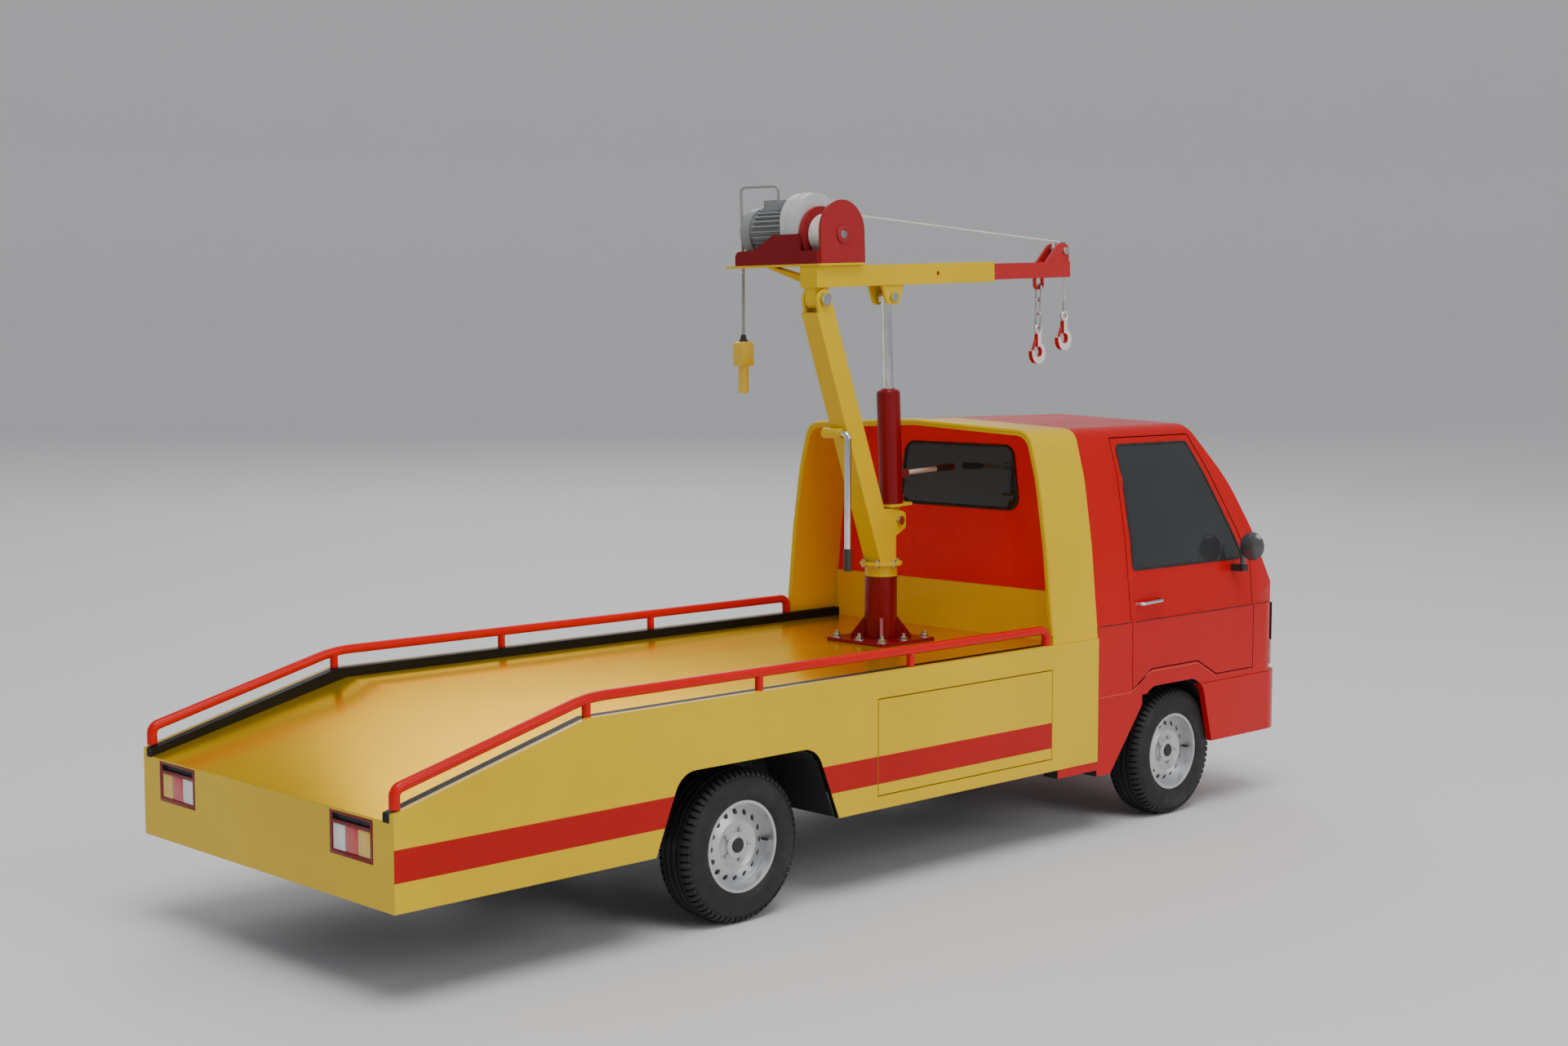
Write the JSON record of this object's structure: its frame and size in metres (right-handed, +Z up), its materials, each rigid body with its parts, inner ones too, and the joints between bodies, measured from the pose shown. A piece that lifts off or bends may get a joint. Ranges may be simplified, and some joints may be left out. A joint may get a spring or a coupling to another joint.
{
  "type": "toy tow truck",
  "caption": "Toy flat-bed tow truck with cab-over cab, side rails and a slewing, luffing hand-jacked winch crane behind the cab.",
  "frame": {"origin": "on the ground, half way along the truck and half way across it", "axes": "+X forward, +Y to the truck's left, +Z up"},
  "size_m": [0.35, 0.1314, 0.1944],
  "materials": {
    "yellow_paint": "gloss yellow enamel",
    "red_paint": "gloss red enamel",
    "maroon_paint": "satin maroon enamel",
    "black_steel": "black chassis paint",
    "rail_red": "gloss red enamel on tube",
    "tyre": "moulded black rubber",
    "rim_steel": "silver painted wheel",
    "axle_steel": "drawn steel",
    "chrome": "polished chrome",
    "zinc": "zinc plated fasteners",
    "glass": "tinted",
    "lamp_clear": "clear lens",
    "lamp_mixed": "white, red and amber lenses",
    "black_plastic": "fine grain",
    "seat_trim": "woven cover",
    "grey_case": "cast, light grey paint",
    "motor_grey": "finned, grey paint",
    "mirror_grey": "grey housing",
    "rope": "white laid rope",
    "cable_grey": "grey sheath",
    "pendant_yellow": "moulded yellow",
    "hook_white": "white faces, red edges"
  },
  "bodies": {
    "truck": {"chassis_frame": "black_steel", "bed_body": "yellow_paint", "deck_channels": "black_steel", "side_rails": "rail_red", "tail_lamp_frames": "maroon_paint", "tail_lamp_lenses": "lamp_mixed", "cab_glass": "glass", "cab_shell": "red_paint", "hoop": "yellow_paint", "front_bumper": "red_paint", "grille": "black_plastic", "front_lamps": "lamp_clear", "seats": "seat_trim", "dashboard": "black_plastic", "crane_base_plate": "maroon_paint", "base_bolts": "zinc", "pedestal": "maroon_paint"},
    "front_wheels": {"front_axle": "axle_steel", "front_rims": "rim_steel", "front_tyres": "tyre"},
    "rear_wheels": {"rear_axle": "axle_steel", "rear_rims": "rim_steel", "rear_tyres": "tyre"},
    "left_door_leaf": {"left_door": "red_paint", "left_door_glass": "glass"},
    "right_door_leaf": {"right_door": "red_paint", "right_door_glass": "glass"},
    "left_mirror_head": {"left_mirror": "mirror_grey"},
    "right_mirror_head": {"right_mirror": "mirror_grey"},
    "left_locker": {"left_locker_door": "yellow_paint"},
    "right_locker": {"right_locker_door": "yellow_paint"},
    "steering": {"steering_wheel": "black_plastic"},
    "column": {"crane_column": "yellow_paint", "crane_pins": "zinc"},
    "handle": {"slew_handle": "chrome"},
    "jack_barrel": {"jack_cylinder": "maroon_paint"},
    "jack_piston": {"jack_ram": "chrome"},
    "lever": {"pump_lever": "zinc"},
    "boom": {"boom_outer": "yellow_paint", "jack_pin": "zinc", "winch_platform": "yellow_paint", "winch_frame": "maroon_paint", "winch_gearbox": "grey_case", "winch_motor": "motor_grey", "pendant_cable": "cable_grey"},
    "boom_tip": {"boom_inner": "red_paint", "sheave_pin": "zinc", "rope_span": "rope"},
    "tip_sheave": {"sheave": "axle_steel"},
    "drum": {"winch_drum": "maroon_paint", "wound_rope": "rope"},
    "chain": {"chain_links": "zinc"},
    "chain_end": {"chain_hook": "hook_white"},
    "chain_latch": {"chain_hook_latch": "zinc"},
    "rope_line": {"rope_fall": "rope"},
    "rope_end": {"rope_hook": "hook_white"},
    "rope_latch": {"rope_hook_latch": "zinc"},
    "pendant_line": {"pendant_drop_cable": "cable_grey", "pendant": "pendant_yellow"},
    "rocker": {"pendant_rocker": "black_plastic"}
  },
  "joints": [
    {"name": "front_axle_spin", "type": "hinge", "parent": "truck", "child": "front_wheels", "pos_m": [0.1169, 0, 0.01984], "axis": [0, 1, 0], "continuous": true},
    {"name": "rear_axle_spin", "type": "hinge", "parent": "truck", "child": "rear_wheels", "pos_m": [-0.0675, 0, 0.01984], "axis": [0, 1, 0], "continuous": true},
    {"name": "left_door_hinge", "type": "hinge", "parent": "truck", "child": "left_door_leaf", "pos_m": [0.15615, 0.05555, 0.06], "axis": [0, 0, -1], "range_deg": [0, 65]},
    {"name": "right_door_hinge", "type": "hinge", "parent": "truck", "child": "right_door_leaf", "pos_m": [0.15615, -0.05555, 0.06], "axis": [0, 0, 1], "range_deg": [0, 65]},
    {"name": "left_mirror_fold", "type": "hinge", "parent": "left_door_leaf", "child": "left_mirror_head", "pos_m": [0.1469, 0.0572, 0.077], "axis": [0, 0, 1], "range_deg": [0, 70]},
    {"name": "right_mirror_fold", "type": "hinge", "parent": "right_door_leaf", "child": "right_mirror_head", "pos_m": [0.1469, -0.0572, 0.077], "axis": [0, 0, -1], "range_deg": [0, 70]},
    {"name": "left_locker_hinge", "type": "hinge", "parent": "truck", "child": "left_locker", "pos_m": [0.0161, 0.05575, 0.0524], "axis": [1, 0, 0], "range_deg": [0, 80]},
    {"name": "right_locker_hinge", "type": "hinge", "parent": "truck", "child": "right_locker", "pos_m": [0.0161, -0.05575, 0.0524], "axis": [-1, 0, 0], "range_deg": [0, 80]},
    {"name": "steering_turn", "type": "hinge", "parent": "truck", "child": "steering", "pos_m": [0.1338, 0.024, 0.079], "axis": [-0.866, 0, 0.5], "range_deg": [-180, 180]},
    {"name": "crane_slew", "type": "hinge", "parent": "truck", "child": "column", "pos_m": [0.0394, 0, 0.07], "axis": [0, 0, 1], "range_deg": [-105, 95]},
    {"name": "slew_handle_swing", "type": "hinge", "parent": "column", "child": "handle", "pos_m": [0.0202, 0, 0.1206], "axis": [0, 1, 0], "range_deg": [0, 90]},
    {"name": "boom_luff", "type": "hinge", "parent": "column", "child": "boom", "pos_m": [0.01156, 0, 0.1598], "axis": [0, -1, 0], "range_deg": [-7, 3]},
    {"name": "jack_tilt", "type": "hinge", "parent": "column", "child": "jack_barrel", "pos_m": [0.0441, 0, 0.0936], "axis": [0, -1, 0], "range_deg": [-0.2704, 0.3642]},
    {"name": "ram_slide", "type": "slide", "parent": "jack_barrel", "child": "jack_piston", "axis": [-0.046, 0, 0.9989], "range_m": [-0.00379, 0.00174]},
    {"name": "pump_lever_stroke", "type": "hinge", "parent": "jack_barrel", "child": "lever", "pos_m": [0.04856, 0, 0.10757], "axis": [0, -1, 0], "range_deg": [-25, 28]},
    {"name": "boom_extension", "type": "slide", "parent": "boom", "child": "boom_tip", "axis": [0.9992, 0, 0.0401], "range_m": [-0.018, 0.026], "deforming": ["rope_span"]},
    {"name": "drum_spin", "type": "hinge", "parent": "boom", "child": "drum", "pos_m": [0.0175, 0, 0.17875], "axis": [0, 1, 0], "range_deg": [-70, 150]},
    {"name": "sheave_spin", "type": "hinge", "parent": "boom_tip", "child": "tip_sheave", "pos_m": [0.12371, 0, 0.17691], "axis": [0, 1, 0], "range_deg": [-162.12, 346.26]},
    {"name": "rope_plumb", "type": "hinge", "parent": "boom_tip", "child": "rope_line", "pos_m": [0.12371, 0, 0.17691], "axis": [0, -1, 0], "range_deg": [-3.2, 7.2]},
    {"name": "hook_hoist", "type": "slide", "parent": "rope_line", "child": "rope_end", "axis": [0, 0, -1], "range_m": [-0.00811, 0.01727], "deforming": ["rope_fall"]},
    {"name": "chain_plumb", "type": "hinge", "parent": "boom_tip", "child": "chain", "pos_m": [0.11324, 0, 0.16478], "axis": [0, -1, 0], "range_deg": [-3.2, 7.2]},
    {"name": "chain_hook_swing", "type": "hinge", "parent": "chain", "child": "chain_end", "pos_m": [0.11324, 0, 0.15135], "axis": [0, -1, 0], "range_deg": [-25, 25]},
    {"name": "chain_latch_press", "type": "hinge", "parent": "chain_end", "child": "chain_latch", "pos_m": [0.11179, 0, 0.14745], "axis": [0, -1, 0], "range_deg": [0, 18], "stiffness_Nm_per_rad": 0.00002, "springref_deg": -2.86},
    {"name": "rope_latch_press", "type": "hinge", "parent": "rope_end", "child": "rope_latch", "pos_m": [0.12511, 0, 0.1518], "axis": [0, -1, 0], "range_deg": [0, 18], "stiffness_Nm_per_rad": 0.00002, "springref_deg": -2.86},
    {"name": "pendant_plumb", "type": "hinge", "parent": "boom", "child": "pendant_line", "pos_m": [0.01266, 0.0323, 0.1683], "axis": [0, -1, 0], "range_deg": [-3.2, 7.2]},
    {"name": "rocker_press", "type": "hinge", "parent": "pendant_line", "child": "rocker", "pos_m": [0.01476, 0.0323, 0.1439], "axis": [0, 1, 0], "range_deg": [-5, 5], "stiffness_Nm_per_rad": 0.00002}
  ],
  "couplings": [
    {"joint": "jack_tilt", "follows": "boom_luff", "ratio": -0.023452},
    {"joint": "ram_slide", "follows": "boom_luff", "m_per_rad": 0.029402},
    {"joint": "rope_plumb", "follows": "boom_luff", "ratio": -1},
    {"joint": "chain_plumb", "follows": "boom_luff", "ratio": -1},
    {"joint": "pendant_plumb", "follows": "boom_luff", "ratio": -1},
    {"joint": "sheave_spin", "follows": "drum_spin", "ratio": 2.3018},
    {"joint": "hook_hoist", "follows": "drum_spin", "m_per_rad": 0.00656}
  ]
}
